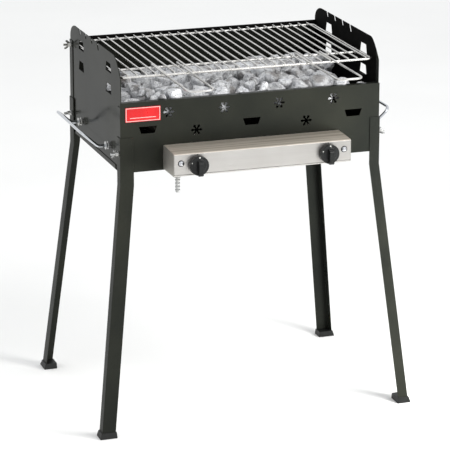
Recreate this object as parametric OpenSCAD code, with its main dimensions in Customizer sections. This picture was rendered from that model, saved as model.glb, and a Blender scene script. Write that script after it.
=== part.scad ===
// Free-standing gas charbroiler grill. An enamelled steel firebox stands on four splayed angle
// legs. It holds a bed of lava rock over two tube burners, under a lift-off wire grill, with a
// stainless control box on the front. Millimetres, +Z up, the front faces -Y, feet on Z = 0.

/* [Firebox] */
// Width over the side panels
body_w = 557; // [480:1:640]
// Depth of the side panels
body_d = 369; // [320:1:440]
// Height of the firebox floor above the ground
floor_z = 550; // [450:1:650]
// Height of the front panel
front_h = 144; // [120:1:180]
// Height of the back panel
back_h = 205; // [170:1:230]
// Height of the side panels
side_h = 233; // [215:1:270]
// Thickness of the sheet steel
sheet = 1.5; // [1:0.1:2.5]
// Depth of the corner flanges that wrap round the side panels
corner_flange = 18; // [15:1:24]

/* [Grill] */
// Distance between the centres of the side wires
grill_w = 541; // [460:1:545]
// Distance between the centres of the front and rear rails
grill_d = 342; // [280:1:350]
// Diameter of the rails and side wires
rail_dia = 5; // [4:0.5:7]
// Diameter of the cooking rods
rod_dia = 3.5; // [3:0.5:5]
// Distance from one cooking rod to the next
rod_pitch = 19.75; // [14:0.25:30]
// Height of the upper support tabs above the firebox floor
tab_h = 190; // [170:1:200]
// Drop from the upper support tabs to the lower ones
tab_drop = 44; // [30:1:60]
// Reach of the wire handles in front of the front rail
handle_reach = 172; // [90:1:190]
// Distance of each wire handle from the middle
handle_x = 156; // [100:1:190]
// Width of each wire handle
handle_w = 54; // [40:1:80]

/* [Legs] */
// Height of the top of the legs above the ground
leg_top = 622; // [580:1:660]
// Height of the bend in the legs
bend_z = 522; // [480:1:545]
// Wide flange of the leg angle
leg_wide = 29; // [22:1:40]
// Narrow flange of the leg angle
leg_narrow = 22; // [16:1:30]
// Thickness of the leg angle
leg_t = 1.5; // [1:0.1:3]
// Sideways splay of the legs
splay_x = 59; // [0:1:80]
// Front-to-back splay of the legs
splay_y = 48; // [0:1:80]

/* [Controls] */
// Width of the control box
control_w = 380; // [320:1:460]
// Depth of the control box
control_d = 71; // [60:1:90]
// Height of the control box
control_h = 47; // [40:1:60]
// Distance of each knob from the middle
knob_x = 140; // [100:1:165]
// Diameter of the knobs
knob_dia = 40; // [36:1:52]
// Travel of a knob when it is pushed in
knob_push = 3; // [2:0.5:4]

/* [Side handles] */
// Diameter of the handle rod
side_rod = 6.5; // [5:0.5:9]
// Distance between the two fixings of a side handle
side_span = 201; // [150:1:240]
// Distance of the hand grip from the side panel
side_out = 58; // [40:1:80]
// Rise of the hand grip above its fixings
side_rise = 28; // [0:1:50]

/* [Rocks] */
// Number of lava rocks across the firebox
rocks_across = 12; // [9:1:13]
// Number of lava rocks front to back
rocks_deep = 7; // [6:1:8]

/* [Hidden] */
$fn = 40;
hw = body_w / 2;
hd = body_d / 2;
box_x = hw + sheet;
box_y = hd + sheet;
front_top = floor_z + front_h;
leg_x = box_x + leg_t;
leg_y = box_y + leg_t;
foot_h = 12.5;
foot_flare = 3.5;
splay_run = bend_z;
grill_z = floor_z + tab_h + rail_dia / 2 + 0.05;
grill_x = -2.5;
grill_y = 1;
grill_corner = 9;
rod_z = grill_z + rail_dia / 2 + rod_dia / 2 - 0.02;
grill_front = grill_y - grill_d / 2;
cross_rod_y = grill_front + 66;
loop_z = grill_z + rail_dia - 0.02;
loop_front = grill_front - handle_reach;
foot_x = leg_x + splay_x;
foot_y = leg_y + splay_y;
front_end = -(loop_front - rail_dia / 2);
rear_end = foot_y + foot_flare;
shift_y = (front_end - rear_end) / 2;
control_z = floor_z + 2;
control_front = -(box_y + control_d);
control_sheet = 1.2;
knob_z = control_z + 22.5;
pipe_z = knob_z - 11.5;
pipe_y = -(box_y + 35);
inlet_x = -(control_w / 2 - 19);
grate_z = floor_z + 95;
grate_top = grate_z + 7.98;
bolt_z = floor_z + 38;
bolt_dia = 5;
nut_bore = 5.1;
back_bolt_z = floor_z + 187;
side_z = floor_z + 38.5;
side_mid = -6.5;
tray_rim = 8;
wide_bolt_y = leg_y - leg_wide / 2;
narrow_bolt_y = leg_y - leg_narrow / 2;
notch_slant = 0.5;

enamel = [0.13, 0.13, 0.12];
steel = [0.80, 0.79, 0.76];
chrome = [0.86, 0.87, 0.88];
zinc = [0.72, 0.73, 0.75];
black = [0.05, 0.05, 0.05];
brass = [0.78, 0.62, 0.32];
rock = [0.62, 0.61, 0.60];

// ---- shared shapes ----

// Round bar from one point to another
module bar(p, q, d) {
  v = q - p;
  flat = norm([v[0], v[1]]);
  translate(p)
    rotate([0, atan2(flat, v[2]), atan2(v[1], v[0])])
      cylinder(d = d, h = norm(v));
}

// Round wire through a list of points, with slightly swollen ball corners
module wire(points, d) {
  for (i = [0 : len(points) - 2])
    bar(points[i], points[i + 1], d);
  for (i = [1 : len(points) - 2])
    translate(points[i])
      sphere(d = d + 0.2);
}

// Cylinder along +Y starting at y = 0
module along_y(d, h) {
  rotate([-90, 0, 0])
    cylinder(d = d, h = h);
}

// Cylinder along +X starting at x = 0
module along_x(d, h) {
  rotate([0, 90, 0])
    cylinder(d = d, h = h);
}

// Trapezium in the sheet plane, wider at its lower edge
module window_shape(low, high, tall) {
  polygon([[-low / 2, 0], [low / 2, 0], [high / 2, tall], [-high / 2, tall]]);
}

// Flower made of six petals round a small heart
module flower_shape() {
  for (a = [0 : 60 : 300])
    rotate(a)
      polygon([[0, -1.6], [6, -1.6], [9.5, -3], [12.6, 0], [9.5, 3], [6, 1.6], [0, 1.6]]);
}

// Puts the object in the shared frame, with its box centred front to back
module placed() {
  translate([0, shift_y, 0])
    children();
}

// ---- firebox ----

module front_sheet() {
  rotate([90, 0, 0])
    linear_extrude(sheet)
      difference() {
        translate([-box_x, floor_z])
          square([2 * box_x, front_h]);
        for (i = [-3 : 2 : 3])
          translate([i * 59.3, floor_z + 119])
            flower_shape();
        for (i = [-2 : 4 : 2])
          translate([i * 59.3, floor_z + 77])
            flower_shape();
        for (i = [-1 : 1])
          translate([i * 222, floor_z + 78])
            window_shape(28, 38, 14.5);
        for (i = [-1, 1])
          translate([i * knob_x, knob_z])
            circle(d = 24.2);
      }
}

// Corner flange on the right, from y0 to y1, wrapped round the outside of the side panel
module wrap_flange(y0, y1, tall) {
  translate([hw, y0, floor_z])
    cube([sheet, y1 - y0, tall]);
}

module front_panel() {
  color(enamel)
    placed() {
      translate([0, -hd, 0])
        front_sheet();
      for (s = [0, 1])
        mirror([s, 0, 0])
          difference() {
            wrap_flange(-hd, corner_flange - hd, front_h - 9);
            translate([hw - 1, s > 0 ? -narrow_bolt_y : -wide_bolt_y, bolt_z])
              along_x(bolt_dia, sheet + 2);
          }
      // folded lip along the top edge
      translate([-(hw - sheet), -hd, front_top - sheet])
        cube([2 * (hw - sheet), 11, sheet]);
    }
}

module back_panel() {
  color(enamel)
    placed() {
      translate([-box_x, hd, floor_z])
        cube([2 * box_x, sheet, back_h - 8]);
      for (s = [0, 1])
        mirror([s, 0, 0])
          difference() {
            wrap_flange(hd - corner_flange - 2, hd, back_h - 8);
            translate([hw - 1, hd - 8, back_bolt_z])
              along_x(bolt_dia, sheet + 2);
            translate([hw - 1, s > 0 ? wide_bolt_y : narrow_bolt_y, bolt_z])
              along_x(bolt_dia, sheet + 2);
          }
      // rolled bead along the top edge
      translate([-(hw - sheet), hd - 2.5, floor_z + back_h - 8])
        difference() {
          along_x(8, 2 * (hw - sheet));
          translate([-1, 0, 0])
            along_x(5, 2 * hw);
        }
    }
}

// Outline of a side panel: front to back along x, height along y
function nose(n) = [for (i = [0 : n]) let (t = i / n)
  [-(hd - 46) - 46 * t, side_h - 41 * pow(t, 1.6)]];
function heel(n) = [for (i = [0 : n]) let (a = 90 * i / n)
  [hd - 40 + 40 * cos(a), back_h + (side_h - back_h) * sin(a)]];

module side_sheet() {
  linear_extrude(sheet)
    difference() {
      polygon(concat([[-hd, 0], [hd, 0]], heel(10), nose(10)));
      // skewer notches, slanting forward towards their closed ends
      for (i = [0 : 3]) {
        deep = i == 0 ? 14.5 : 10.5;
        low = -deep * notch_slant;
        translate([-21 + 44.5 * i, side_h])
          polygon([[-3.7, 1], [3.7, 1], [3.7, 0], [3.6 + low, -deep], [-3.6 + low, -deep],
            [-3.7, 0]]);
      }
      for (y = [-100, 100])
        for (z = [tab_h, tab_h - tab_drop])
          translate([y, z])
            window_shape(39, 29, 19.5);
      translate([side_mid - side_span / 2, side_z - floor_z])
        circle(d = side_rod);
      translate([side_mid + side_span / 2, side_z - floor_z])
        circle(d = side_rod);
      // bolt hole for the rear corner
      translate([hd - 8, back_bolt_z - floor_z])
        circle(d = bolt_dia);
    }
}

// Side panel built on the right, with holes for the leg bolts; the tabs fold inwards from the
// windows
module side_panel(front_hole_y, rear_hole_y) {
  difference() {
    union() {
      translate([hw - sheet, 0, floor_z])
        rotate([90, 0, 90])
          side_sheet();
      for (y = [-100, 100])
        for (z = [tab_h, tab_h - tab_drop])
          translate([hw - sheet, y, floor_z + z - sheet])
            linear_extrude(sheet)
              polygon([[0, -19.5], [0, 19.5], [-18, 14.5], [-18, -14.5]]);
    }
    for (y = [front_hole_y, rear_hole_y])
      translate([hw - 3, y, bolt_z])
        along_x(bolt_dia, 6);
  }
}

module side_panel_right() {
  color(enamel)
    placed()
      side_panel(-wide_bolt_y, narrow_bolt_y);
}

module side_panel_left() {
  color(enamel)
    placed()
      mirror([1, 0, 0])
        side_panel(-narrow_bolt_y, wide_bolt_y);
}

module bottom_tray() {
  color(enamel)
    placed() {
      difference() {
        translate([-box_x, -hd, floor_z - sheet])
          cube([2 * box_x, 2 * hd, sheet]);
        for (x = [-210 : 60 : 210])
          for (y = [-130, -40])
            translate([x - 5, y, floor_z - sheet - 1])
              cube([10, 60, sheet + 2]);
      }
      for (s = [-1, 1])
        translate([s > 0 ? hw : -box_x, -(hd - 36), floor_z])
          cube([sheet, 2 * (hd - 36), tray_rim]);
    }
}

// Ledge that carries the lava grate, welded inside a side panel
module ledge() {
  translate([hw - 2 * sheet, -168, grate_z - 18])
    cube([sheet, 336, 15]);
  translate([hw - 17, -168, grate_z - 3 - sheet])
    cube([17 - 2 * sheet, 336, sheet]);
}

module grate_ledge_right() {
  color(enamel)
    placed()
      ledge();
}

module grate_ledge_left() {
  color(enamel)
    placed()
      mirror([1, 0, 0])
        ledge();
}

module lava_grate() {
  color([0.25, 0.25, 0.25])
    placed() {
      for (y = [-150, 0, 150])
        translate([-(hw - 5), y, grate_z])
          along_x(6, 2 * (hw - 5));
      for (i = [-11.5 : 1 : 11.5])
        translate([i * 23, -172, grate_z + 5.48])
          along_y(5, 344);
    }
}

// Height and width factors that vary gently from rock to rock
function wobble(i, j, k) = sin(i * 137 + j * 211 + k * 83);

// Half height of a rock: low beside the walls, where the support tabs are, and in the last row
function rock_half(i, j) =
  i == 0 || i == rocks_across - 1 ? 20.5 + wobble(i, j, 1) :
  j == rocks_deep - 2 ? 22 + 4 * i / rocks_across + wobble(i, j, 1) :
  26 + 2.5 * wobble(i, j, 1);

// One faceted rock on the grate
module lava_rock(x, y, wide, deep, tall, turn) {
  translate([x, y, grate_top + 0.02 + tall * cos(22.5)])
    scale([wide, deep, tall])
      rotate([0, 0, turn])
        sphere(r = 1, $fn = 7);
}

// Bed of rocks that leaves a strip free along the back and another at the front right
module lava_rocks() {
  step_x = 2 * (hw - 8) / rocks_across;
  step_y = 2 * (hd - 10) / rocks_deep;
  color(rock)
    placed() {
      for (i = [0 : rocks_across - 1])
        for (j = [0 : rocks_deep - 2])
          if (!(i == rocks_across - 1 && j < rocks_deep - 3))
            lava_rock(-(hw - 8) + step_x * (i + 0.5), -(hd - 10) + step_y * (j + 0.5),
              step_x / 2 * (1 + 0.03 * wobble(i, j, 2)),
              step_y / 2 * (1 + 0.03 * wobble(i, j, 3)), rock_half(i, j),
              45 * wobble(i, j, 4));
      lava_rock(hw - 26, -(hd - 24), 13, 11, 20, 20);
    }
}

// ---- gas train ----

// Tube burner: a bell-mouthed feed tube along +Y with two cross arms
module burner(s) {
  difference() {
    union() {
      translate([s * knob_x, -(box_y + 14), knob_z])
        along_y(24, 320);
      for (y = [-60, 90])
        translate([s * knob_x - 100, y, knob_z])
          along_x(20, 200);
    }
    translate([s * knob_x, -(box_y + 15), knob_z])
      along_y(20, 318);
    for (y = [-60, 90])
      for (k = [-5.5 : 1 : 5.5])
        translate([s * knob_x + k * 15, y, knob_z + 4])
          cylinder(d = 3, h = 10, $fn = 16);
  }
}

module burner_left() {
  color(steel)
    placed()
      burner(-1);
}

module burner_right() {
  color(steel)
    placed()
      burner(1);
}

// Saddle that carries the rear end of a burner
module burner_bracket(s) {
  translate([s * knob_x, 116, 0])
    difference() {
      translate([-18, 0, floor_z])
        cube([36, 3, knob_z - floor_z]);
      translate([0, -1, knob_z])
        along_y(24, 5);
    }
  translate([s * knob_x - 18, 119, floor_z])
    cube([36, 14, 1.5]);
}

module burner_bracket_left() {
  color(steel)
    placed()
      burner_bracket(-1);
}

module burner_bracket_right() {
  color(steel)
    placed()
      burner_bracket(1);
}

module gas_manifold() {
  color(brass)
    placed() {
      translate([inlet_x, pipe_y, pipe_z])
        along_x(10, knob_x - inlet_x + 20);
      translate([knob_x + 20, pipe_y, pipe_z])
        along_x(13, 6);
    }
}

// Hose tail that points down under the left end of the control box
module gas_inlet_barb() {
  color(zinc)
    placed()
      translate([inlet_x, pipe_y, 0])
        difference() {
          union() {
            translate([0, 0, pipe_z + 7 - 17])
              cylinder(d = 16, h = 17);
            translate([0, 0, floor_z - 9])
              cylinder(d = 14, h = 9, $fn = 6);
            translate([0, 0, floor_z])
              cylinder(d = 9, h = pipe_z - 10 - floor_z);
            translate([0, 0, floor_z - 40])
              cylinder(d = 7.4, h = 32);
            // four ribs, each a cone under a short land
            for (k = [0 : 3])
              translate([0, 0, floor_z - 39.5 + k * 7]) {
                cylinder(d1 = 7.6, d2 = 10, h = 4);
                translate([0, 0, 4])
                  cylinder(d = 10, h = 1.2);
              }
          }
          translate([0, 0, floor_z - 41])
            cylinder(d = 4.5, h = pipe_z - floor_z + 41);
          translate([0, 0, pipe_z])
            along_x(10, 20);
        }
}

// Valve block round the manifold, with a bonnet for the sliding spindle
module valve_body(s) {
  difference() {
    union() {
      translate([s * knob_x - 12, pipe_y - 10, pipe_z - 8])
        cube([24, 22, knob_z - pipe_z + 16]);
      translate([s * knob_x, pipe_y - 24, knob_z])
        along_y(17, 14);
    }
    translate([s * knob_x - 13, pipe_y, pipe_z])
      along_x(10, 26);
    translate([s * knob_x, pipe_y - 14, knob_z])
      along_y(6.1, 16);
    translate([s * knob_x, pipe_y - 25, knob_z])
      along_y(11.1, 15);
  }
}

module valve_body_left() {
  color(brass)
    placed()
      valve_body(-1);
}

module valve_body_right() {
  color(brass)
    placed()
      valve_body(1);
}

module injector(s) {
  translate([s * knob_x, pipe_y + 12, knob_z])
    along_y(9, 5);
  translate([s * knob_x, pipe_y + 17, knob_z])
    along_y(6, 7);
}

module injector_left() {
  color(brass)
    placed()
      injector(-1);
}

module injector_right() {
  color(brass)
    placed()
      injector(1);
}

// Ring that slides in the bonnet and carries the turning spindle
module valve_plunger(s) {
  translate([s * knob_x, pipe_y - 23, knob_z])
    difference() {
      along_y(11, 8);
      translate([0, -1, 0])
        along_y(6.1, 10);
    }
}

module valve_plunger_left() {
  color(steel)
    placed()
      valve_plunger(-1);
}

module valve_plunger_right() {
  color(steel)
    placed()
      valve_plunger(1);
}

module valve_stem(s) {
  translate([s * knob_x, control_front - 16, knob_z])
    along_y(6, pipe_y - 5 - control_front + 16);
}

module valve_stem_left() {
  color(steel)
    placed()
      valve_stem(-1);
}

module valve_stem_right() {
  color(steel)
    placed()
      valve_stem(1);
}

// ---- control box and knobs ----

// Folded sheet seen from the right-hand end: depth along x, height along y
module control_profile() {
  f = control_front;
  t = control_sheet;
  z = control_z;
  h = control_h;
  polygon([[-box_y, z + h + 2], [f / 2 - box_y / 2, z + h + 1.4], [f + 3, z + h], [f, z + h - 2],
    [f, z + 2], [f + 2, z], [f + 15, z - 0.6], [f + 15, z + t - 0.6], [f + 2 + t, z + t],
    [f + t, z + 2 + t], [f + t, z + h - 2 - t], [f + 3 + t / 2, z + h - t],
    [f / 2 - box_y / 2, z + h + 1.4 - t], [-box_y, z + h + 2 - t]]);
}

module control_box() {
  color(steel)
    placed()
      difference() {
        translate([-(control_w / 2 - control_sheet), 0, 0])
          rotate([90, 0, 90])
            linear_extrude(control_w - 2 * control_sheet)
              control_profile();
        for (s = [-1, 1]) {
          translate([s * knob_x, control_front - 1, knob_z])
            along_y(12, 4);
          translate([s * (control_w / 2 - 15), control_front - 1, knob_z + 5])
            along_y(4, 4);
        }
      }
}

// End plate of the control box, with a flange against the front panel
module control_end() {
  f = control_front;
  t = control_sheet;
  translate([control_w / 2 - t, 0, 0])
    rotate([90, 0, 90])
      linear_extrude(t)
        polygon([[-box_y, control_z + control_h + 2],
          [f / 2 - box_y / 2, control_z + control_h + 1.4], [f + 3, control_z + control_h],
          [f, control_z + control_h - 2], [f, control_z + 2], [f + 2, control_z],
          [-box_y, control_z - 0.6]]);
  translate([control_w / 2 - 14, -box_y - t, control_z + 2])
    cube([14 - t, t, control_h - 4]);
  // tab behind the front face for the screw
  translate([control_w / 2 - 24, f + t, knob_z + 5 - 12])
    difference() {
      cube([24 - t, t, 24]);
      translate([9, -1, 12])
        along_y(4, 4);
    }
}

module control_end_right() {
  color(steel)
    placed()
      control_end();
}

module control_end_left() {
  color(steel)
    placed()
      mirror([1, 0, 0])
        control_end();
}

module control_screws() {
  color(chrome)
    placed()
      for (s = [-1, 1])
        translate([s * (control_w / 2 - 15), control_front, knob_z + 5]) {
          rotate([90, 0, 0])
            rotate_extrude()
              polygon([[0, 0], [5.5, 0], [5.1, 1.4], [3.8, 2.7], [2, 3.5], [0, 3.8]]);
          along_y(4, 9);
        }
}

// Round control knob: a skirt, a low hub and a grip rib with a sloped upper end, bored for
// the spindle
module knob() {
  r = knob_dia / 2;
  difference() {
    union() {
      rotate([90, 0, 0])
        rotate_extrude($fn = 64)
          polygon([[0, 0], [r, 0], [r, 8.7], [r - 0.6, 9.4], [r - 5.8, 9.4], [r - 6.4, 10.4],
            [0, 10.4]]);
      intersection() {
        translate([-4.8, 0, 0])
          rotate([90, 0, 90])
            linear_extrude(9.6)
              polygon([[-8, -r], [-17.5, -r], [-20, 2 - r], [-20, r - 13.5], [-19, r - 11.5],
                [-9, r - 6.8], [-8, r - 6.8]]);
        rotate([90, 0, 0])
          cylinder(d = knob_dia - 1, h = 25, $fn = 64);
      }
    }
    translate([0, -11, 0])
      along_y(6, 12);
  }
}

module knob_left() {
  color(black)
    placed()
      translate([-knob_x, control_front - 5, knob_z])
        knob();
}

module knob_right() {
  color(black)
    placed()
      translate([knob_x, control_front - 5, knob_z])
        knob();
}

// Pale pointer dot on the skirt of a knob, with a smaller dot to its left
module knob_mark(s) {
  r = knob_dia / 2 - 2.3;
  translate([s * knob_x, control_front - 14.4, knob_z])
    rotate([90, 0, 0]) {
      translate([0, r, 0])
        cylinder(d = 3, h = 0.3);
      translate([-r * cos(25), r * sin(25), 0])
        cylinder(d = 2, h = 0.3);
    }
}

module knob_mark_left() {
  color([0.92, 0.92, 0.9])
    placed()
      knob_mark(-1);
}

module knob_mark_right() {
  color([0.92, 0.92, 0.9])
    placed()
      knob_mark(1);
}

// Off dots printed on the control box above the knobs
module panel_marks() {
  color(black)
    placed()
      for (s = [-1, 1])
        translate([s * knob_x, control_front, control_z + control_h - 3.6])
          rotate([90, 0, 0])
            cylinder(d = 2.4, h = 0.2);
}

module badge() {
  color([0.78, 0.1, 0.1])
    placed()
      translate([-232.5, -box_y, floor_z + 119])
        rotate([90, 0, 0]) {
          translate([-37, -15, 0])
            cube([74, 30, 0.8]);
          difference() {
            translate([-36, -14, 0.8])
              cube([72, 28, 0.3]);
            translate([-34.5, -12.5, 0.7])
              cube([69, 25, 1]);
          }
        }
}

// ---- grill ----

module grill_frame() {
  gx = grill_w / 2;
  gy = grill_d / 2;
  color(chrome)
    placed()
      translate([grill_x, grill_y, grill_z])
        for (s = [-1, 1]) {
          translate([-(gx - grill_corner), s * gy, 0])
            along_x(rail_dia, 2 * (gx - grill_corner));
          translate([s * gx, -(gy - grill_corner), 0])
            along_y(rail_dia, 2 * (gy - grill_corner));
          for (t = [-1, 1])
            scale([s, t, 1])
              translate([gx - grill_corner, gy - grill_corner, 0])
                rotate_extrude(angle = 90)
                  translate([grill_corner, 0])
                    circle(d = rail_dia);
        }
}

module grill_rods() {
  half = floor((grill_w / 2 - 9) / rod_pitch);
  color(chrome)
    placed()
      for (i = [-half : half])
        translate([grill_x + i * rod_pitch, grill_front - 1, rod_z])
          along_y(rod_dia, grill_d + 5);
}

module grill_cross_rod() {
  color(chrome)
    placed()
      translate([grill_x - (grill_w / 2 - rail_dia / 2), cross_rod_y, grill_z])
        along_x(rail_dia, grill_w - rail_dia);
}

// Wire loop laid on the cross rod and the front rail; it reaches forward past the front panel
module grill_handle(s) {
  w = handle_w / 2;
  bend = 13;
  translate([grill_x + s * handle_x, loop_front, loop_z]) {
    translate([-(w - bend), 0, 0])
      along_x(rail_dia, 2 * (w - bend));
    for (t = [0, 1])
      mirror([t, 0, 0]) {
        translate([w - bend, bend, 0])
          rotate([0, 0, -90])
            rotate_extrude(angle = 90)
              translate([bend, 0])
                circle(d = rail_dia);
        translate([w, bend, 0])
          along_y(rail_dia, cross_rod_y + 7 - loop_front - bend);
      }
  }
}

module grill_handle_left() {
  color(chrome)
    placed()
      grill_handle(-1);
}

module grill_handle_right() {
  color(chrome)
    placed()
      grill_handle(1);
}

// ---- legs ----

// Slab that leans outwards below the bend; x0..x1 and y0..y1 are its plan at the bend
module leaning(x0, x1, y0, y1, low) {
  k = (bend_z - low) / splay_run;
  dx = splay_x * k;
  dy = splay_y * k;
  polyhedron(
    points = [[x0 + dx, y0 + dy, low], [x1 + dx, y0 + dy, low], [x1 + dx, y1 + dy, low],
      [x0 + dx, y1 + dy, low], [x0, y0, bend_z], [x1, y0, bend_z], [x1, y1, bend_z],
      [x0, y1, bend_z]],
    faces = [[0, 1, 2, 3], [4, 7, 6, 5], [0, 4, 5, 1], [1, 5, 6, 2], [2, 6, 7, 3],
      [3, 7, 4, 0]]);
}

// Angle leg for the right rear corner; fx and fy are its flange widths along x and y. The bolt
// goes through the flange on the side.
module leg(fx, fy) {
  difference() {
    union() {
      translate([leg_x - fx, box_y, bend_z])
        cube([fx, leg_t, leg_top - bend_z]);
      translate([box_x, leg_y - fy, bend_z])
        cube([leg_t, fy, leg_top - bend_z]);
      leaning(leg_x - fx, leg_x, box_y, leg_y, 5);
      leaning(box_x, leg_x, leg_y - fy, leg_y, 5);
    }
    translate([box_x - 2, leg_y - fy / 2, bolt_z])
      along_x(bolt_dia, 6);
  }
}

module leg_rear_right() {
  color(enamel)
    placed()
      leg(leg_wide, leg_narrow);
}

module leg_front_left() {
  color(enamel)
    placed()
      rotate([0, 0, 180])
        leg(leg_wide, leg_narrow);
}

module leg_front_right() {
  color(enamel)
    placed()
      mirror([0, 1, 0])
        leg(leg_narrow, leg_wide);
}

module leg_rear_left() {
  color(enamel)
    placed()
      mirror([1, 0, 0])
        leg(leg_narrow, leg_wide);
}

// Plastic foot cap with a flared base, slotted for the angle of the leg
module foot(fx, fy) {
  difference() {
    translate([foot_x - fx - foot_flare, foot_y - fy - foot_flare, 0])
      union() {
        cube([fx + 2 * foot_flare, fy + 2 * foot_flare, 3]);
        hull() {
          translate([0, 0, 3])
            cube([fx + 2 * foot_flare, fy + 2 * foot_flare, 0.01]);
          translate([0.5, 0.5, foot_h])
            cube([fx + foot_flare - 0.3, fy + foot_flare - 0.3, 0.01]);
        }
      }
    leaning(leg_x - fx, leg_x, box_y, leg_y, 5);
    leaning(box_x, leg_x, leg_y - fy, leg_y, 5);
  }
}

module foot_rear_right() {
  color(black)
    placed()
      foot(leg_wide, leg_narrow);
}

module foot_front_left() {
  color(black)
    placed()
      rotate([0, 0, 180])
        foot(leg_wide, leg_narrow);
}

module foot_front_right() {
  color(black)
    placed()
      mirror([0, 1, 0])
        foot(leg_narrow, leg_wide);
}

module foot_rear_left() {
  color(black)
    placed()
      mirror([1, 0, 0])
        foot(leg_narrow, leg_wide);
}

// ---- bolts and wing nuts ----

// Screw along +X: flat head at x = 0, shank of the given length, then a washer at its seat
module screw(seat, length) {
  translate([-3, 0, 0])
    along_x(10, 3);
  along_x(bolt_dia, length);
  translate([seat, 0, 0])
    difference() {
      along_x(12, 1);
      translate([-1, 0, 0])
        along_x(bolt_dia - 0.5, 3);
    }
}

// Wing nut along +X with its seat at x = 0
module wing_nut(turn) {
  rotate([turn, 0, 0])
    difference() {
      union() {
        rotate([0, 90, 0])
          cylinder(d1 = 11, d2 = 8.5, h = 6);
        for (s = [-1, 1])
          rotate([0, 0, 90])
            linear_extrude(2.2, center = true)
              polygon([[s * 2.8, -1], [s * 4.5, -1], [s * 11.5, -7], [s * 12.5, -11],
                [s * 10, -12.5], [s * 7.5, -10], [s * 2.8, -5.5]]);
      }
      translate([-1, 0, 0])
        along_x(nut_bore, 14);
    }
}

// Where each leg bolt sits; dir turns +X to face out of the leg
module at_leg_bolt(x, y, dir) {
  translate([x, y, bolt_z])
    rotate([0, 0, dir])
      children();
}

module leg_bolts() {
  color(zinc)
    placed() {
      for (y = [-wide_bolt_y, narrow_bolt_y])
        at_leg_bolt(hw - sheet, y, 0)
          screw(leg_x - hw + sheet, 21);
      for (y = [-narrow_bolt_y, wide_bolt_y])
        at_leg_bolt(-(hw - sheet), y, 180)
          screw(leg_x - hw + sheet, 21);
    }
}

module back_bolts() {
  color(zinc)
    placed()
      for (s = [-1, 1])
        translate([s * (hw - sheet), hd - 8, back_bolt_z])
          rotate([0, 0, s > 0 ? 0 : 180])
            screw(2 * sheet, 19);
}

module wing_nut_front_right() {
  color(zinc)
    placed()
      at_leg_bolt(leg_x + 1.1, -wide_bolt_y, 0)
        wing_nut(20);
}

module wing_nut_rear_left() {
  color(zinc)
    placed()
      at_leg_bolt(-(leg_x + 1.1), wide_bolt_y, 180)
        wing_nut(30);
}

module wing_nut_front_left() {
  color(zinc)
    placed()
      at_leg_bolt(-(leg_x + 1.1), -narrow_bolt_y, 180)
        wing_nut(50);
}

module wing_nut_rear_right() {
  color(zinc)
    placed()
      at_leg_bolt(leg_x + 1.1, narrow_bolt_y, 0)
        wing_nut(75);
}

module wing_nut_back_left() {
  color(zinc)
    placed()
      translate([-(box_x + 1.1), hd - 8, back_bolt_z])
        rotate([0, 0, 180])
          wing_nut(60);
}

module wing_nut_back_right() {
  color(zinc)
    placed()
      translate([box_x + 1.1, hd - 8, back_bolt_z])
        wing_nut(40);
}

// ---- side handles ----

// Handle rod on the left: two arms that kick up and out to a straight hand grip
module side_handle() {
  a = side_span / 2;
  wire([for (p = [[-8, -a, 0], [26, -a, 0], [side_out, -a, side_rise],
      [side_out, a, side_rise], [26, a, 0], [-8, a, 0]])
    [-hw - p[0], side_mid + p[1], side_z + p[2]]], side_rod);
}

module side_handle_left() {
  color(chrome)
    placed()
      side_handle();
}

module side_handle_right() {
  color(chrome)
    placed()
      mirror([1, 0, 0])
        side_handle();
}

// Collar with two discs outside the panel and a nut inside it, at each end of a handle
module handle_fixings(s) {
  for (e = [-1, 1])
    translate([0, side_mid + e * side_span / 2, side_z])
      rotate([0, 0, s > 0 ? 0 : 180])
        difference() {
          union() {
            translate([hw, 0, 0])
              along_x(11, 8.8);
            for (x = [3.6, 8.6])
              translate([hw + x, 0, 0])
                along_x(17, 1.6);
            translate([hw - sheet - 5, 0, 0])
              rotate([0, 90, 0])
                cylinder(d = 13, h = 5, $fn = 6);
          }
          translate([hw - sheet - 6, 0, 0])
            along_x(side_rod, 22);
        }
}

module handle_fixings_left() {
  color(zinc)
    placed()
      handle_fixings(-1);
}

module handle_fixings_right() {
  color(zinc)
    placed()
      handle_fixings(1);
}

front_panel();
back_panel();
side_panel_left();
side_panel_right();
bottom_tray();
grate_ledge_left();
grate_ledge_right();
lava_grate();
lava_rocks();
burner_left();
burner_right();
burner_bracket_left();
burner_bracket_right();
gas_manifold();
gas_inlet_barb();
valve_body_left();
valve_body_right();
injector_left();
injector_right();
valve_plunger_left();
valve_plunger_right();
valve_stem_left();
valve_stem_right();
control_box();
control_end_left();
control_end_right();
control_screws();
knob_left();
knob_right();
knob_mark_left();
knob_mark_right();
panel_marks();
badge();
grill_frame();
grill_rods();
grill_cross_rod();
grill_handle_left();
grill_handle_right();
leg_front_left();
leg_front_right();
leg_rear_left();
leg_rear_right();
foot_front_left();
foot_front_right();
foot_rear_left();
foot_rear_right();
leg_bolts();
back_bolts();
wing_nut_front_left();
wing_nut_front_right();
wing_nut_rear_left();
wing_nut_rear_right();
wing_nut_back_left();
wing_nut_back_right();
side_handle_left();
side_handle_right();
handle_fixings_left();
handle_fixings_right();
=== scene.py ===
"""Charbroiler grill: the looks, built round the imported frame. Metres, +Z up, the front faces -Y."""
import math
import random

import bmesh
import bpy
from mathutils import Matrix, Vector, noise


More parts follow.
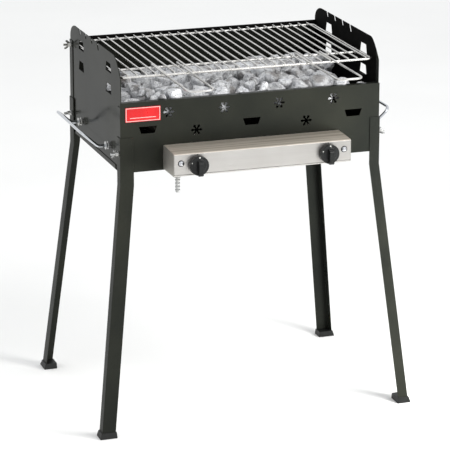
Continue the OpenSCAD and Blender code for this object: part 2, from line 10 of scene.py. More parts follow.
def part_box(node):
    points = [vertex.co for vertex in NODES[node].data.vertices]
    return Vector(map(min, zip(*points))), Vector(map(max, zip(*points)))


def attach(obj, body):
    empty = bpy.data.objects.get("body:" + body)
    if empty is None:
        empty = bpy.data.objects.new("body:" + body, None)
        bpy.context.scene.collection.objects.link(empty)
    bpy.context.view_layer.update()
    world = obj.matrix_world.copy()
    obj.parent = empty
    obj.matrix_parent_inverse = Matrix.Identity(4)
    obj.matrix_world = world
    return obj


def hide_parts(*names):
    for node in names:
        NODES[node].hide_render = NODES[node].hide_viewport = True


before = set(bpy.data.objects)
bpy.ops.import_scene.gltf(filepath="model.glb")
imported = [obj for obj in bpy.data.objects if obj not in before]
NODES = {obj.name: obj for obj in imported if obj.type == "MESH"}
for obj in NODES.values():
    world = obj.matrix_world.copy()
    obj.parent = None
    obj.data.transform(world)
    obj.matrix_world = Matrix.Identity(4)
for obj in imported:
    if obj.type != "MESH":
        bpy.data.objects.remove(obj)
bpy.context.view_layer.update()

scene = bpy.context.scene
MM = 0.001


# ---- camera and light ----

CAMERA_PLACE = (-1.6977, -4.897, 1.9576)
CAMERA_TURN = (19.0, 16.98, 0.145)  # yaw, pitch and roll, in degrees
LENS, SENSOR = 204.8, 36.0  # mm
NEAR, FAR = 0.1, 60.0


def camera():
    """The camera, in front of the object and to its left, looking down a little."""
    yaw, pitch, roll = (math.radians(angle) for angle in CAMERA_TURN)
    look = Vector((math.sin(yaw) * math.cos(pitch), math.cos(yaw) * math.cos(pitch),
                   -math.sin(pitch)))
    right = look.cross(Vector((0, 0, 1))).normalized()
    up = right.cross(look)
    right, up = (right * math.cos(roll) + up * math.sin(roll),
                 up * math.cos(roll) - right * math.sin(roll))
    data = bpy.data.cameras.new("camera")
    data.lens, data.sensor_width = LENS, SENSOR
    data.clip_start, data.clip_end = NEAR, FAR
    cam = bpy.data.objects.new("camera", data)
    turn = Matrix((right, up, -look)).transposed().to_4x4()
    cam.matrix_world = Matrix.Translation(CAMERA_PLACE) @ turn
    scene.collection.objects.link(cam)
    scene.camera = cam


def soft_light(name, place, size, power, colour, target=(0, 0, 0.5)):
    """A rectangular area light that faces its target and can't be seen itself."""
    data = bpy.data.lights.new(name, "AREA")
    data.shape, data.size, data.size_y = "RECTANGLE", size[0], size[1]
    data.energy, data.color = power, colour
    light = bpy.data.objects.new(name, data)
    light.location = place
    light.visible_camera = False
    light.rotation_euler = (Vector(target) - Vector(place)).to_track_quat("-Z", "Y").to_euler()
    scene.collection.objects.link(light)
    return light


def studio():
    """A white surround with a key light at the right, a weak fill at the left, and a kicker that
    lifts the right of the front panel and leaves no highlight."""
    world = bpy.data.worlds.new("studio")
    world.use_nodes = True
    back = world.node_tree.nodes["Background"]
    back.inputs["Color"].default_value = (0.98, 0.99, 1.0, 1)
    back.inputs["Strength"].default_value = 1.0
    scene.world = world
    soft_light("key", (2.2, -2.6, 3.2), (1.7, 1.7), 72, (1.0, 0.985, 0.96))
    soft_light("fill", (-3.2, -1.2, 2.4), (2.0, 2.4), 6, (0.96, 0.98, 1.0))
    kicker = soft_light("kicker", (0.80, -0.85, 0.42), (0.5, 0.4), 23, (1.0, 1.0, 0.98),
                        (0.25, -0.15, 0.64))
    kicker.visible_glossy = False
    scene.view_settings.view_transform = "Standard"
    scene.view_settings.look = "None"


# ---- materials ----

def srgb(r, g, b):
    """A colour given as 0 to 255 on the screen."""
    return tuple((c / 255 / 12.92 if c <= 10 else ((c / 255 + 0.055) / 1.055) ** 2.4)
                 for c in (r, g, b)) + (1.0,)


class Look:
    """A material's node tree, with short calls for the nodes used here."""

    def __init__(self, name, **sockets):
        self.material = bpy.data.materials.new(name)
        self.material.use_nodes = True
        self.tree = self.material.node_tree
        self.shader = self.tree.nodes["Principled BSDF"]
        for socket, value in sockets.items():
            self.feed(self.shader.inputs[socket.replace("_", " ")], value)
        self.place = self.node("ShaderNodeTexCoord").outputs["Object"]

    def node(self, kind, **settings):
        made = self.tree.nodes.new(kind)
        for key, value in settings.items():
            setattr(made, key, value)
        return made

    def feed(self, socket, value):
        if isinstance(value, bpy.types.NodeSocket):
            self.tree.links.new(value, socket)
        else:
            socket.default_value = value

    def shade(self, socket, value):
        self.feed(self.shader.inputs[socket], value)

    def split(self, vector):
        made = self.node("ShaderNodeSeparateXYZ")
        self.feed(made.inputs[0], vector)
        return made.outputs

    def stretched(self, stretch):
        made = self.node("ShaderNodeMapping")
        self.feed(made.inputs["Vector"], self.place)
        made.inputs["Scale"].default_value = stretch
        return made.outputs["Vector"]

    def noise(self, scale, detail, rough=0.5, stretch=None):
        made = self.node("ShaderNodeTexNoise")
        self.feed(made.inputs["Vector"], self.stretched(stretch) if stretch else self.place)
        for key, value in (("Scale", scale), ("Detail", detail), ("Roughness", rough)):
            made.inputs[key].default_value = value
        return made.outputs["Fac"]

    def cells(self, scale):
        made = self.node("ShaderNodeTexVoronoi")
        self.feed(made.inputs["Vector"], self.place)
        made.inputs["Scale"].default_value = scale
        return made.outputs["Distance"]

    def remap(self, value, low, high, to_low=0.0, to_high=1.0):
        made = self.node("ShaderNodeMapRange")
        for key, item in (("Value", value), ("From Min", low), ("From Max", high),
                          ("To Min", to_low), ("To Max", to_high)):
            self.feed(made.inputs[key], item)
        return made.outputs["Result"]

    def cloud(self, scale, detail, to_low=0.0, to_high=1.0):
        """Noise whose middle part fills the whole range."""
        return self.remap(self.noise(scale, detail), 0.3, 0.7, to_low, to_high)

    def maths(self, operation, a, b):
        made = self.node("ShaderNodeMath", operation=operation)
        self.feed(made.inputs[0], a)
        self.feed(made.inputs[1], b)
        return made.outputs[0]

    def times(self, a, b):
        return self.maths("MULTIPLY", a, b)

    def distance(self, value, centre):
        return self.maths("ABSOLUTE", self.maths("SUBTRACT", value, centre), 0.0)

    def mix(self, share, a, b):
        made = self.node("ShaderNodeMix", data_type="RGBA")
        self.feed(made.inputs[0], share)
        self.feed(made.inputs[6], a)
        self.feed(made.inputs[7], b)
        return made.outputs[2]

    def bump(self, height, strength, depth, under=None):
        made = self.node("ShaderNodeBump")
        made.inputs["Strength"].default_value = strength
        made.inputs["Distance"].default_value = depth
        self.feed(made.inputs["Height"], height)
        if under is not None:
            self.feed(made.inputs["Normal"], under)
        return made.outputs["Normal"]


def enamel(name, dark, light, gloss):
    """Black enamel, darkened and dulled with painted shade inside the firebox but not on the lip of
    the front panel.
    """
    look = Look(name, Metallic=0.0, IOR=1.12)
    low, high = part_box("bottom_tray")
    middle, half = (low + high) / 2, (high - low) / 2
    place = look.split(look.place)
    inside = 1.0  # 1 between the inner faces of the panels, 0 outside
    for axis, centre, size in (("X", middle.x, half.x - 2.2 * MM),
                               ("Y", middle.y, half.y - 0.2 * MM)):
        away = look.distance(place[axis], centre)
        inside = look.times(look.maths("LESS_THAN", away, size), inside)
    lip_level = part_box("front_panel")[1].z - 2 * MM
    lip = look.times(look.maths("GREATER_THAN", place["Z"], lip_level),
                     look.maths("LESS_THAN", place["Y"], low.y + 12 * MM))
    inside = look.times(inside, look.maths("SUBTRACT", 1.0, lip))
    tone = look.mix(look.cloud(5, 3), dark, light)
    dust = look.remap(look.noise(1400, 1), 0.70, 0.80)
    dusty = look.mix(look.times(dust, 0.12), tone, srgb(150, 148, 140))
    # painted shade: near-black colour on the inner faces of the firebox
    firebox_shade = look.mix(look.cloud(45, 4), srgb(5, 5, 5), srgb(13, 12, 11))
    look.shade("Base Color", look.mix(inside, dusty, firebox_shade))
    smudge = look.remap(look.noise(16, 4, 0.6), 0.3, 0.75, gloss - 0.05, gloss + 0.07)
    look.shade("Roughness", look.remap(inside, 0, 1, smudge, 0.75))
    sheet_wave = look.bump(look.noise(7, 1), 0.25, 0.004)
    look.shade("Normal", look.bump(look.noise(420, 1), 0.06, 0.0006, sheet_wave))
    return look.material


def metal(name, colour, worn, rough):
    """Bare or plated metal with worn patches and fine marks."""
    look = Look(name, Metallic=1.0)
    marks = look.noise(500, 3, 0.6)
    look.shade("Base Color", look.mix(look.cloud(24, 4), colour, worn))
    look.shade("Roughness", look.remap(marks, 0.25, 0.75, rough - 0.05, rough + 0.07))
    look.shade("Normal", look.bump(marks, 0.04, 0.0004))
    return look.material


def brushed_steel(name):
    """Stainless sheet brushed along its length, with heat tint, painted light and rolling streaks on
    top, end faces darkened with painted shade, and a pressed crease along the lower edge of the front
    that is darkened with painted shade."""
    look = Look(name, Metallic=1.0)
    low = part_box("control_box")[0]
    along = (0.012, 1, 1)
    normal = look.split(look.node("ShaderNodeNewGeometry").outputs["Normal"])
    place = look.split(look.place)
    upward = look.remap(normal["Z"], 0.5, 0.9)
    sideways = look.remap(look.maths("ABSOLUTE", normal["X"], 0.0), 0.5, 0.9)
    streak = look.noise(900, 3, 0.6, along)
    broad = look.remap(look.noise(150, 4, 0.7, along), 0.40, 0.66)
    plain = look.mix(look.cloud(9, 3), srgb(203, 201, 198), srgb(194, 191, 187))
    plain = look.mix(look.times(broad, 0.10), plain, srgb(150, 146, 140))
    # the top faces are warmer with heat tint and lighter with painted light
    heat_tint_and_top_light = look.mix(broad, srgb(238, 230, 218), srgb(202, 191, 176))
    # painted shade: the end faces, facing along X, are darker
    tone = look.mix(sideways, look.mix(upward, plain, heat_tint_and_top_light), srgb(176, 173, 166))
    away = look.distance(place["Z"], low.z + 4.2 * MM)
    crease = look.times(look.remap(away, 0.5 * MM, 1.3 * MM, 1.0, 0.0),
                        look.maths("LESS_THAN", place["Y"], low.y + 0.5 * MM))
    # painted shade: a dark line along the pressed crease, which also gets a bump
    look.shade("Base Color", look.mix(look.times(crease, 0.75), tone, srgb(90, 88, 84)))
    duller = look.times(look.maths("MAXIMUM", upward, sideways), 0.2)
    look.shade("Roughness", look.maths("ADD", look.remap(streak, 0.25, 0.75, 0.32, 0.44), duller))
    fine = look.bump(streak, 0.14, 0.0004)
    look.shade("Normal", look.bump(look.maths("SUBTRACT", 1.0, crease), 0.6, 0.0006, fine))
    return look.material


def plastic(name, colour, rough, grain_size, **sockets):
    """Moulded plastic or paint with a fine grain, rubbed lighter in patches."""
    look = Look(name, **sockets)
    light = tuple(min(1.0, c * 1.5 + 0.004) for c in colour[:3]) + (1.0,)
    look.shade("Base Color", look.mix(look.cloud(60, 3), colour, light))
    look.shade("Roughness", look.cloud(90, 3, rough - 0.05, rough + 0.06))
    look.shade("Normal", look.bump(look.noise(grain_size, 2), 0.12, 0.0003))
    return look.material


def lava(name):
    """Ashy porous stone: whole rocks differ in tone, with rusty patches, grit, and painted shade in
    the pores and the hollows.
    """
    look = Look(name)
    tone = look.node("ShaderNodeAttribute", attribute_name="tone").outputs["Fac"]
    hollow = look.node("ShaderNodeAttribute", attribute_name="hollow").outputs["Fac"]
    base = look.mix(tone, srgb(104, 102, 102), srgb(244, 246, 251))
    patch = look.remap(look.noise(60, 5, 0.65), 0.42, 0.56)
    ashy = look.mix(look.times(patch, 0.8), base, srgb(253, 254, 255))
    rust = look.times(look.remap(look.noise(26, 4), 0.56, 0.66), 0.6)
    ashy = look.mix(rust, ashy, srgb(118, 107, 97))
    mottle = look.remap(look.noise(190, 4, 0.75), 0.36, 0.58)
    ashy = look.mix(look.remap(mottle, 0, 1, 0.26, 0.0), ashy, srgb(98, 97, 98))
    # painted shade: darker colour in the hollows of the rock's surface
    hollow_shade = look.mix(look.remap(hollow, 0.30, 0.80), ashy, srgb(96, 94, 94))
    pores = look.remap(look.cells(240), 0.07, 0.28)
    fine = look.remap(look.cells(600), 0.06, 0.26)
    pore_dents_and_shade = look.times(pores, look.remap(fine, 0, 1, 0.65, 1.0))
    # painted shade: dark colour in the pores, which the same mask also dents
    look.shade("Base Color", look.mix(pore_dents_and_shade, srgb(66, 65, 66), hollow_shade))
    look.shade("Roughness", look.remap(patch, 0, 1, 0.82, 0.96))
    grit = look.bump(look.noise(1100, 3, 0.7), 0.6, 0.0006)
    crust = look.bump(mottle, 0.6, 0.002, grit)
    look.shade("Normal", look.bump(pore_dents_and_shade, 0.9, 0.002, crust))
    return look.material


def badge_face(name):
    """Red enamel with a pale printed border and one plain rule under the middle."""
    low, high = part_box("badge")
    middle, half = (low + high) / 2, (high - low) / 2
    look = Look(name)
    place = look.split(look.place)

    def inset(axis, centre, size):
        return look.maths("SUBTRACT", size, look.distance(place[axis], centre))

    edge = look.maths("MINIMUM", inset("X", middle.x, half.x), inset("Z", middle.z, half.z))
    line = look.times(look.maths("GREATER_THAN", edge, 1.0 * MM),
                      look.maths("LESS_THAN", edge, 2.4 * MM))
    rule = look.times(look.maths("GREATER_THAN", inset("Z", middle.z - 7 * MM, 0.7 * MM), 0.0),
                      look.maths("GREATER_THAN", inset("X", middle.x, 27 * MM), 0.0))
    ink = look.times(look.maths("MAXIMUM", line, rule),
                     look.remap(look.noise(300, 2), 0.2, 0.6, 0.7, 0.95))
    red = look.mix(look.cloud(40, 3), srgb(190, 12, 16), srgb(174, 9, 13))
    look.shade("Base Color", look.mix(ink, red, srgb(214, 176, 172)))
    look.shade("Roughness", look.cloud(60, 3, 0.24, 0.34))
    look.shade("Normal", look.bump(look.noise(500, 2), 0.05, 0.0003))
    return look.material


def all_materials():
    """Every material, by its slot."""
    black, olive = srgb(26, 28, 26), srgb(41, 42, 37)
    return {
        "firebox_enamel": enamel("firebox_enamel", black, olive, 0.15),
        "leg_enamel": enamel("leg_enamel", black, olive, 0.28),
        "foot_plastic": plastic("foot_plastic", srgb(14, 15, 14), 0.5, 900, IOR=1.4),
        "grate_steel": metal("grate_steel", srgb(92, 90, 88), srgb(120, 112, 104), 0.5),
        "lava_rock": lava("lava_rock"),
        "burner_steel": metal("burner_steel", srgb(172, 170, 166), srgb(150, 140, 128), 0.38),
        "gas_brass": metal("gas_brass", srgb(206, 172, 98), srgb(172, 134, 72), 0.28),
        "spindle_steel": metal("spindle_steel", srgb(190, 190, 190), srgb(170, 168, 166), 0.25),
        "stainless_sheet": brushed_steel("stainless_sheet"),
        "screw_chrome": metal("screw_chrome", srgb(206, 208, 212), srgb(192, 193, 197), 0.14),
        "knob_plastic": plastic("knob_plastic", srgb(14, 15, 15), 0.3, 1200, IOR=1.36),
        "white_mark": plastic("white_mark", srgb(170, 170, 166), 0.4, 900),
        "black_mark": plastic("black_mark", srgb(24, 24, 24), 0.5, 900),
        "badge_red": badge_face("badge_red"),
        "grill_chrome": metal("grill_chrome", srgb(214, 213, 211), srgb(198, 196, 192), 0.24),
        "handle_chrome": metal("handle_chrome", srgb(204, 207, 211), srgb(186, 189, 194), 0.1),
        "zinc_plate": metal("zinc_plate", srgb(188, 190, 192), srgb(164, 162, 156), 0.26),
    }


FLOOR_HALF = 14


def floor():
    """A plain pale floor that reaches past every view."""
    look = Look("floor")
    look.shade("Base Color", look.mix(look.cloud(1.2, 3), srgb(238, 238, 237),
                                      srgb(243, 243, 242)))
    look.shade("Roughness", 0.9)
    look.shade("Specular IOR Level", 0.1)
    mesh = bpy.data.meshes.new("floor")
    corners = [(x * FLOOR_HALF, y * FLOOR_HALF, 0) for x, y in ((-1, -1), (1, -1), (1, 1), (-1, 1))]
    mesh.from_pydata(corners, [], [(0, 1, 2, 3)])
    mesh.materials.append(look.material)
    ground = bpy.data.objects.new("floor", mesh)
    scene.collection.objects.link(ground)


# ---- shared geometry ----

def piece(name, mesh, slot, body, stands_for=()):
    """Links a mesh as a smooth piece with its finish, its body and the nodes it stands for."""
    made = bpy.data.objects.new(name, mesh)
    scene.collection.objects.link(made)
    mesh.materials.append(LOOKS[slot])
    mesh.polygons.foreach_set("use_smooth", [True] * len(mesh.polygons))
    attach(made, body)
    if stands_for:
        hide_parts(*stands_for)
    return made


def join_shapes(name, shapes):
    """One mesh from several (points, faces) shapes."""
    points, faces = [], []
    for more_points, more_faces in shapes:
        start = len(points)
        points.extend(more_points)
        faces.extend(tuple(i + start for i in f) for f in more_faces)
    mesh = bpy.data.meshes.new(name)
    mesh.from_pydata(points, [], faces)
    return mesh


def ring_faces(rings, sides, flip=False):
    """Faces that join equal rings of points, one after the other, and close both ends."""
    faces = []
    for r in range(rings - 1):
        near, far = r * sides, (r + 1) * sides
        for k in range(sides):
            n = (k + 1) % sides
            faces.append((near + k, far + k, far + n, near + n) if flip
                         else (near + k, near + n, far + n, far + k))
    first = tuple(range(sides))
    last = tuple(range((rings - 1) * sides, rings * sides))
    return faces + ([first, last[::-1]] if flip else [first[::-1], last])


def rounded_path(corners, radii, steps=8):
    """The corner points with each inner corner replaced by a smooth bend of the given radius."""
    path = [Vector(corners[0])]
    for before, at, after, radius in zip(corners, corners[1:], corners[2:], radii):
        before, at, after = Vector(before), Vector(at), Vector(after)
        back, on = (before - at).normalized(), (after - at).normalized()
        reach = radius / math.tan(back.angle(on) / 2)
        first, last = at + back * reach, at + on * reach
        for k in range(steps + 1):
            t = k / steps
            path.append(first * (1 - t) ** 2 + at * 2 * t * (1 - t) + last * t * t)
    path.append(Vector(corners[-1]))
    return path


END_DOME = 0.35  # height of a wire's domed end, as a share of its radius


def tube(path, radius, sides=20):
    """Round wire along a path with softly domed ends, as (points, faces)."""
    start = ahead = (path[1] - path[0]).normalized()
    side = ahead.orthogonal().normalized()
    rings = []
    for i, at in enumerate(path):
        if i == 0:
            tangent = ahead
        elif i == len(path) - 1:
            tangent = (path[i] - path[i - 1]).normalized()
        else:
            onward, behind = (path[i + 1] - at).normalized(), (at - path[i - 1]).normalized()
            tangent = (onward + behind).normalized()
        turn = ahead.rotation_difference(tangent)
        side, ahead = (turn @ side).normalized(), tangent
        rings.append((at, side.copy(), ahead.cross(side), 1.0))
    caps = []
    for (centre, a, b, _), out in ((rings[0], -start), (rings[-1], ahead)):
        caps.append([(centre - out * radius * END_DOME * (1 - math.sin(t)), a, b, math.cos(t))
                     for t in (0.0, 0.5, 1.0, 1.35)])
    rings = caps[0][::-1] + rings[1:-1] + caps[1]
    points = []
    for at, a, b, share in rings:
        for k in range(sides):
            angle = 2 * math.pi * k / sides
            points.append(at + (a * math.cos(angle) + b * math.sin(angle)) * radius * share)
    return points, ring_faces(len(rings), sides)


def lathe(profile, centre, sides=96):
    """Solid turned about an axis along -Y; the profile is (radius, depth) from back to front."""
    points = []
    for radius, depth in profile:
        for k in range(sides):
            angle = 2 * math.pi * k / sides
            points.append(centre + Vector((math.cos(angle) * radius, -depth,
                                           math.sin(angle) * radius)))
    return points, ring_faces(len(profile), sides, flip=True)


def soft_prism(outline, low, high, round_off, place):
    """Outline given in two axes, spread from low to high along the third, with rounded edges."""
    shape = bmesh.new()
    lower = [shape.verts.new(place(a, b, low)) for a, b in outline]
    upper = [shape.verts.new(place(a, b, high)) for a, b in outline]
    shape.faces.new(lower)
    shape.faces.new(upper[::-1])
    for i in range(len(outline)):
        n = (i + 1) % len(outline)
        shape.faces.new((lower[i], upper[i], upper[n], lower[n]))
    bmesh.ops.recalc_face_normals(shape, faces=shape.faces)
    bmesh.ops.bevel(shape, geom=shape.edges[:], offset=round_off, segments=3, profile=0.5,
                    affect="EDGES", clamp_overlap=True)
    shape.verts.index_update()
    points = [v.co.copy() for v in shape.verts]
    faces = [tuple(v.index for v in f.verts) for f in shape.faces]
    shape.free()
    return points, faces


# ---- wire grill ----

RODS = 27
WIRE = 2.5 * MM  # radius of the wire
LOOP_RADIUS = WIRE - 0.02 * MM
LOOP_BEND_AT = 37.5 * MM  # in front of the frame
LOOP_BENDS = [0.3, 0.018, 0.018, 0.3]


def loop_handle(side):
    """One wire loop that reaches forward from the grill's frame over the front panel."""
    low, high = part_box(f"grill_handle_{side}")
    middle, level = (low.x + high.x) / 2, (low.z + high.z) / 2
    half = (high.x - low.x) / 2 - WIRE
    tip, rear = low.y + WIRE, high.y
    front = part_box("grill_frame")[0].y - LOOP_BEND_AT
    corners = [(middle - half, rear, level), (middle - half, front, level),
               (middle - half, tip, level), (middle + half, tip, level),
               (middle + half, front, level), (middle + half, rear, level)]
    path = rounded_path(corners, LOOP_BENDS)
    name = f"grill_loop_{side}"
    piece(name, join_shapes(name, [tube(path, LOOP_RADIUS)]), "grill_chrome", "grill",
          [f"grill_handle_{side}"])


def weld_bead(at, across, along, tall):
    """Squashed drop of weld metal where two wires cross."""
    points = []
    rings, sides = 5, 10
    for r in range(rings):
        slope = math.pi * (r + 0.5) / rings - math.pi / 2
        for k in range(sides):
            angle = 2 * math.pi * k / sides
            points.append(at + Vector((math.cos(angle) * math.cos(slope) * across,
                                       math.sin(angle) * math.cos(slope) * along,
                                       math.sin(slope) * tall)))
    return points, ring_faces(rings, sides)


def grill_welds():
    """Weld beads where each rod crosses the front rail, the rear rail and the cross rod."""
    low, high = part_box("grill_rods")
    frame_low, frame_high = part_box("grill_frame")
    cross_low, cross_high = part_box("grill_cross_rod")
    rails = (("front", frame_low.y + WIRE), ("rear", frame_high.y - WIRE),
             ("middle", (cross_low.y + cross_high.y) / 2))
    rod = (high.z - low.z) / 2
    first, last = low.x + rod, high.x - rod
    draw = random.Random(7)
    for name, y in rails:
        beads = []
        for i in range(RODS):
            x = first + (last - first) * i / (RODS - 1)
            grow = draw.uniform(0.9, 1.15)
            beads.append(weld_bead(Vector((x, y, low.z + 0.1 * MM)), 1.8 * MM * grow,
                                   1.6 * MM * grow, 0.6 * MM))
        piece(f"grill_welds_{name}", join_shapes(name, beads), "grill_chrome", "grill")


# ---- side handles ----

HANDLE_WIRE = 3.25 * MM  # radius of the wire
HANDLE_KICK = 32 * MM  # from the kick to the grip
HANDLE_BENDS = [0.012, 0.019, 0.019, 0.012]


def side_handle(side):
    """One chrome handle: two feet that run outwards and kick up to the grip."""
    low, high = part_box(f"side_handle_{side}")
    radius = HANDLE_WIRE
    outward = -1 if side == "left" else 1
    grip = (low.x if side == "left" else high.x) - outward * radius
    root = high.x if side == "left" else low.x
    kick = grip - outward * HANDLE_KICK
    near, far = low.y + radius, high.y - radius
    down, up = low.z + radius, high.z - radius
    corners = [(root, near, down), (kick, near, down), (grip, near, up), (grip, far, up),
               (kick, far, down), (root, far, down)]
    path = rounded_path(corners, HANDLE_BENDS, 12)
    name = f"side_grip_{side}"
    piece(name, join_shapes(name, [tube(path, radius, 24)]), "handle_chrome", "firebox",
          [f"side_handle_{side}"])


# ---- knobs ----

def knob(side):
    """A round skirt with a raised face and a grip rib across it; sections in metres."""
    low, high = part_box(f"knob_{side}")
    middle = Vector(((low.x + high.x) / 2, high.y, (low.z + high.z) / 2))
    r = (high.x - low.x) / 2
    skirt = [(0.002, 0.0), (r - 0.0012, 0.0), (r - 0.0004, 0.0003), (r, 0.0012), (r, 0.0078),
             (r - 0.0003, 0.0086), (r - 0.0009, 0.0092), (r - 0.0017, 0.0094), (r - 0.0052, 0.0094),
             (r - 0.0060, 0.0096), (r - 0.0064, 0.0101), (r - 0.0070, 0.0104), (0.001, 0.0104)]
    rib = [(0.0085, -r + 0.0006), (0.0172, -r + 0.0006), (0.0198, -r + 0.0030),
           (0.0198, r - 0.0133), (0.0188, r - 0.0116), (0.0092, r - 0.0070), (0.0085, r - 0.0070)]
    name = f"knob_cap_{side}"
    shapes = [lathe(skirt, middle),
              soft_prism(rib, -0.0047, 0.0047, 0.0012,
                         lambda depth, tall, x: middle + Vector((x, -depth, tall)))]
    made = piece(name, join_shapes(name, shapes), "knob_plastic", f"knob_{side}", [f"knob_{side}"])
    made.modifiers.new("shade", "WEIGHTED_NORMAL").keep_sharp = False


def screw_shade_rings():
    """A thin dark ring under each screw of the control box: painted shade for the screw's shadow, and
    the dark gap round it.
    """
    low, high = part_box("control_screws")
    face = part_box("control_box")[0].y
    level = (low.z + high.z) / 2
    radius = (high.z - low.z) / 2
    rim = radius + 1.3 * MM
    ring = [(rim, 0.0), (rim, 0.2 * MM), (0.001, 0.2 * MM)]
    for side, x in (("left", low.x + radius), ("right", high.x - radius)):
        name = f"screw_shade_ring_{side}"
        piece(name, join_shapes(name, [lathe(ring, Vector((x, face, level)))]), "black_mark",
              "firebox")


# ---- lava rocks ----

def unit_ball(divisions):
    """A ball of radius 1 made of even triangles, as (points, faces)."""
    ball = bmesh.new()
    bmesh.ops.create_icosphere(ball, subdivisions=divisions, radius=1)
    points = [v.co.copy() for v in ball.verts]
    faces = [tuple(v.index for v in f.verts) for f in ball.faces]
    ball.free()
    return points, faces


ACROSS, DEEP = 12, 7  # large rocks from left to right and from front to back
SMALL_ROCKS = 58
FREE_CORNER = 0.226  # X where the front rows end
RIGHT_WALL = 0.2745  # X where the bed ends at the right side panel
CORNER_ROCK = 0.2525  # X of the lone rock at the front right
STAGGER = 0.22  # shift of every other row to the left or right, as a share of a step
EDGE_RISE, FULL_RISE = 39, 54  # mm above the grate, at the side panels and in the front rows
FACETS = 9  # random flat sides on each rock
SHARPNESS = 34  # how crisply the facets meet
NEIGHBOUR = 0.1  # rocks closer than this share a facet
GAP = 0.3 * MM  # left free at the walls and the grate
DARK_SHARE = 0.16  # share of the rocks that are dark
BEDS = 4  # pieces that the rocks are shared out over


def rock_centres(draw):
    """Centre, size and highest point of every rock, and the level of the grate. A strip along the
    back and the corner at the front right stay empty but for one small rock."""
    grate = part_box("lava_grate")[1].z
    wall_low, wall_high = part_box("bottom_tray")
    inner_x = wall_high.x - 9.5 * MM
    inner_y = (wall_high.y - wall_low.y) / 2 - 10 * MM
    middle_y = (wall_high.y + wall_low.y) / 2
    step_x, step_y = 2 * inner_x / ACROSS, 2 * inner_y / DEEP
    found = []
    for i in range(ACROSS):
        for j in range(DEEP - 1):
            if i == ACROSS - 1 and j < DEEP - 3:
                continue
            edge = i in (0, ACROSS - 1)
            x = -inner_x + step_x * (i + 0.5 + STAGGER * (-1) ** j * (not edge)
                                     + draw.uniform(-0.17, 0.17))
            y = middle_y - inner_y + step_y * (j + 0.5 + draw.uniform(-0.2, 0.2))
            size = draw.uniform(21, 30) * MM
            share = i / ACROSS
            rise = {DEEP - 2: 29 + 19 * share, DEEP - 3: 38 + 16 * share,
                    DEEP - 4: 46 + 8 * share}.get(j, FULL_RISE)
            top = grate + (min(rise, EDGE_RISE) if edge else rise) * MM
            if j < DEEP - 3:
                x = min(x, FREE_CORNER - size * 0.8)
            z = min(grate + size * draw.uniform(0.75, 1.0), top - size * 0.7)
            found.append((Vector((x, y, z)), size, top))
    for _ in range(SMALL_ROCKS):
        j = draw.choice((0, 0, 1, 1, 2, 3, 4))
        x = draw.uniform(-inner_x + step_x, FREE_CORNER - 18 * MM)
        y = middle_y - inner_y + step_y * (j + draw.choice((0.1, 0.9)) + draw.uniform(-0.1, 0.1))
        size = draw.uniform(10, 17) * MM
        height = draw.uniform(36, 45) - (12 * (0.5 - x / (2 * inner_x)) if j > 2 else 0)
        found.append((Vector((x, max(y, middle_y - inner_y + size), grate + height * MM)), size,
                      grate + (height + 12) * MM))
    found.append((Vector((CORNER_ROCK, middle_y - inner_y + 13 * MM, grate + 21 * MM)), 18 * MM,
                  grate + 38 * MM))
    return found, grate


def rock_planes(k, centres, grate, walls, draw):
    """The flat sides of rock k as (outward normal, distance from its centre): the grate, its
    highest level, the walls, the near rocks and some facets of its own."""
    centre, size, top = centres[k]
    planes = [(Vector((0, 0, -1)), max(centre.z - grate - GAP, 2 * MM)),
              (Vector((0, 0, 1)), max(top - centre.z, 2 * MM))]
    for normal, place in walls:
        planes.append((normal, abs(place - centre.dot(Vector(map(abs, normal)))) - GAP))
    for m, (other, other_size, _) in enumerate(centres):
        way = other - centre
        if m != k and way.length < NEIGHBOUR:
            reach = way.length * size / (size + other_size) - 0.5 * MM
            planes.append((way.normalized(), reach))
    for _ in range(FACETS):
        normal = Vector((draw.gauss(0, 1), draw.gauss(0, 1), draw.gauss(0, 1))).normalized()
        planes.append((normal, size * draw.uniform(0.66, 1.02)))
    return planes


def rock_point(way, size, planes, seed):
    """The rock's radius along a direction, and how deep in a hollow that point is, from 0 to 1."""
    total = 0.0
    for normal, reach in planes:
        along = way.dot(normal)
        if along > 0.05:
            total += (along / reach) ** SHARPNESS
    radius = min(total ** (-1 / SHARPNESS) if total > 0 else size, size * 1.4)
    at = way * (radius / MM) + seed
    rough = 0.5 + 0.5 * noise.fractal(at * 0.075, 0.8, 2.2, 4)
    pit = max(0.0, 1 - noise.voronoi(at * 0.17)[0][0] / 0.46)
    finer = 0.5 + 0.5 * noise.noise(at * 0.6)
    radius -= (2.6 * rough + 3.4 * pit * pit + 1.1 * finer) * MM * min(1.0, size / 0.024)
    return radius, min(1.0, 0.9 * pit * pit + 0.75 * max(0.0, rough - 0.5) + 0.25 * finer)


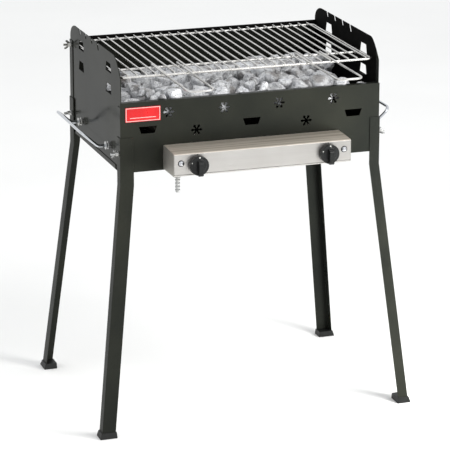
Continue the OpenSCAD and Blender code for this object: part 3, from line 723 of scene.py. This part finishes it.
def rocks():
    """The lava bed: faceted, pitted rocks, shared out over a few pieces."""
    draw = random.Random(41)
    centres, grate = rock_centres(draw)
    low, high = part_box("lava_rocks")
    walls = [(Vector((-1, 0, 0)), low.x - 3 * MM), (Vector((1, 0, 0)), RIGHT_WALL),
             (Vector((0, -1, 0)), low.y - 7 * MM), (Vector((0, 1, 0)), high.y + 6 * MM)]
    ball, ball_faces = unit_ball(4)
    beds = [([], [], [], []) for _ in range(BEDS)]
    for k, (centre, size, _) in enumerate(centres):
        planes = rock_planes(k, centres, grate, walls, draw)
        seed = Vector((draw.uniform(0, 90), draw.uniform(0, 90), draw.uniform(0, 90)))
        dark = draw.random() < DARK_SHARE
        tone = draw.uniform(0.0, 0.3) if dark else draw.uniform(0.5, 1.0)
        points, faces, tones, hollows = beds[k % BEDS]
        start = len(points)
        for way in ball:
            radius, hollow = rock_point(way, size, planes, seed)
            points.append(centre + way * radius)
            hollows.append(hollow)
        faces.extend(tuple(a + start for a in f) for f in ball_faces)
        tones.extend([tone] * len(ball))
    for n, (points, faces, tones, hollows) in enumerate(beds):
        name = f"lava_rock_bed_{n + 1}"
        mesh = join_shapes(name, [(points, faces)])
        for key, values in (("tone", tones), ("hollow", hollows)):
            mesh.attributes.new(key, "FLOAT", "POINT").data.foreach_set("value", values)
        piece(name, mesh, "lava_rock", "firebox", ["lava_rocks"])


# ---- carried-over CAD nodes ----

SHARP = math.radians(32)


def round_edges(names, width, segments=2):
    """Rounds the sharp edges of CAD nodes by modifiers."""
    for name in names:
        node = NODES[name]
        node.modifiers.new("weld", "WELD").merge_threshold = 1e-6
        bevel = node.modifiers.new("round", "BEVEL")
        bevel.width, bevel.segments = width, segments
        bevel.limit_method, bevel.angle_limit = "ANGLE", SHARP
        bevel.use_clamp_overlap = False
        node.modifiers.new("shade", "WEIGHTED_NORMAL").keep_sharp = False


def finish_nodes():
    """Gives every CAD node the material of its slot, and rounds those with bare sheet edges."""
    for node in NODES.values():
        for i, old in enumerate(node.data.materials):
            node.data.materials[i] = LOOKS[old.name.split(".")[0]]
    sheets = [n for n in NODES if "panel" in n and n != "panel_marks"]
    round_edges(sheets + ["bottom_tray"], 0.35 * MM)
    round_edges(["control_box", "control_end_left", "control_end_right"], 0.35 * MM)
    round_edges([n for n in NODES if n.startswith("leg_") and n != "leg_bolts"], 0.4 * MM)
    for start, width, segments in (("foot_", 0.5, 3), ("wing_nut_", 0.5, 3),
                                   ("handle_fixings_", 0.25, 2), ("badge", 0.15, 2)):
        round_edges([n for n in NODES if n.startswith(start)], width * MM, segments)


LOOKS = all_materials()
camera()
studio()
floor()
finish_nodes()
grill_welds()
screw_shade_rings()
for hand in ("left", "right"):
    loop_handle(hand)
    side_handle(hand)
    knob(hand)
rocks()
